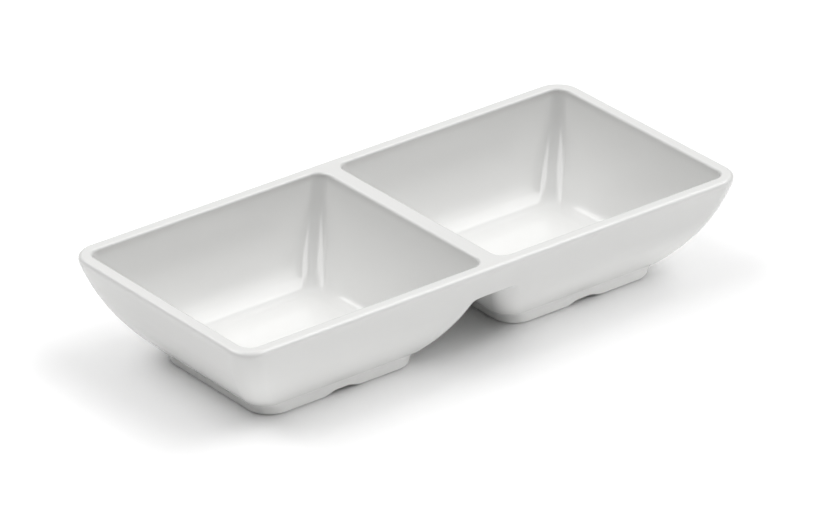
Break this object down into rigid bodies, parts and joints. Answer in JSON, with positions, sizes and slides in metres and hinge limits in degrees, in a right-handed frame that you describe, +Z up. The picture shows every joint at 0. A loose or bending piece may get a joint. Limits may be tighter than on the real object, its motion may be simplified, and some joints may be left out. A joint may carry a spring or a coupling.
{
  "type": "two-well dip server",
  "caption": "Low white rectangular serving dish with twin curved wells, a flat rim, a flat divider over an arch, and a notched foot ring under each well.",
  "frame": {"origin": "centre of the footprint, on the surface that the dish stands on", "axes": "+Z up, +X along the long side from the left bowl to the right bowl, front at -Y"},
  "size_m": [0.241, 0.114, 0.044],
  "materials": {
    "glaze": "smooth glossy white moulded melamine"
  },
  "bodies": {
    "root": {"rim": "glaze", "divider": "glaze", "left_bowl": "glaze", "right_bowl": "glaze", "left_foot": "glaze", "right_foot": "glaze"}
  },
  "joints": []
}
